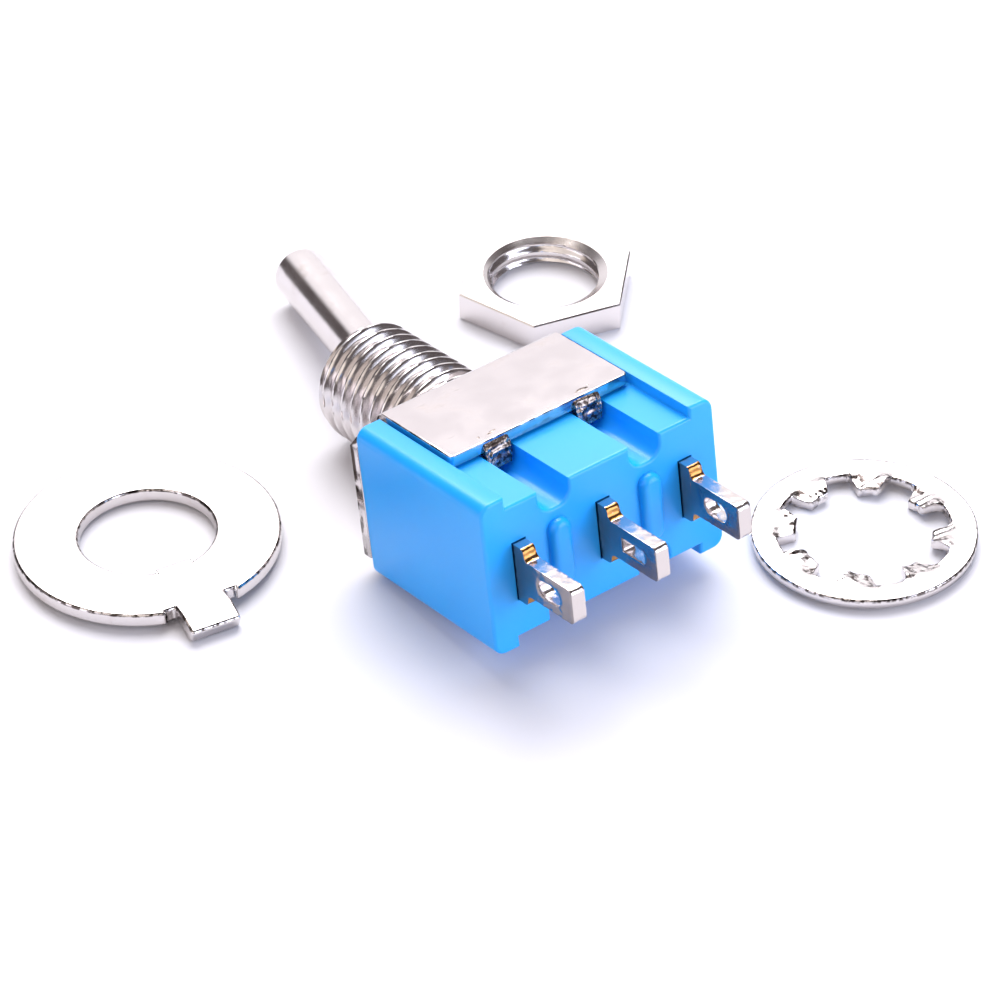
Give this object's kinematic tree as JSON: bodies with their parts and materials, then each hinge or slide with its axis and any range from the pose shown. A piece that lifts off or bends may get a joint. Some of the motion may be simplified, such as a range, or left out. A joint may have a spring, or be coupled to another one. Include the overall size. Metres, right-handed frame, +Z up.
{
  "type": "panel toggle switch",
  "caption": "Miniature panel toggle switch with a threaded bushing and solder lugs, lying beside its nut, tab washer and toothed lock washer.",
  "frame": {"origin": "On the bushing's axis where it leaves the bracket's outer face, which seats against the panel.", "axes": "+Z up from the surface the switch lies on; +X along the row of lugs, towards the side the lever is thrown to; +Y horizontally from the lugs towards the lever."},
  "size_m": [0.0377, 0.0377, 0.0092],
  "materials": {
    "housing": "satin moulded blue thermoplastic",
    "plated_steel": "bright nickel-plated steel, lightly scratched",
    "plated_brass": "nickel-plated turned brass",
    "terminal": "silver-plated brass with bare golden shoulders",
    "contact": "silver contact metal",
    "plunger": "natural acetal",
    "spring": "bright spring wire"
  },
  "bodies": {
    "switch": {"housing": "housing", "bracket": "plated_steel", "bushing": "plated_brass", "terminal_near": "terminal", "terminal_centre": "terminal", "terminal_far": "terminal", "contact_near": "contact", "contact_far": "contact", "hex_nut": "plated_brass", "tab_washer": "plated_steel", "lock_washer": "plated_steel"},
    "toggle": {"lever": "plated_brass", "pivot_pin": "plated_steel", "plunger_spring": "spring"},
    "plunger": {"plunger": "plunger"},
    "rocker": {"rocker": "contact"}
  },
  "joints": [
    {"name": "lever_hinge", "type": "hinge", "parent": "switch", "child": "toggle", "pos_m": [0, 0.00496, -0.00065], "axis": [0, 0.1296, 0.9916], "range_deg": [0, 28.4]},
    {"name": "rocker_hinge", "type": "hinge", "parent": "switch", "child": "rocker", "pos_m": [0, -0.00552, 0.00072], "axis": [0, 0.1296, 0.9916], "range_deg": [-18, 0]},
    {"name": "plunger_slide", "type": "slide", "parent": "toggle", "child": "plunger", "axis": [0.2453, 0.9613, -0.1256], "range_m": [0, 0.0004], "stiffness_N_per_m": 100, "springref_m": -0.001, "deforming": ["plunger_spring"]}
  ],
  "couplings": [
    {"joint": "rocker_hinge", "follows": "lever_hinge", "ratio": -0.6338}
  ]
}
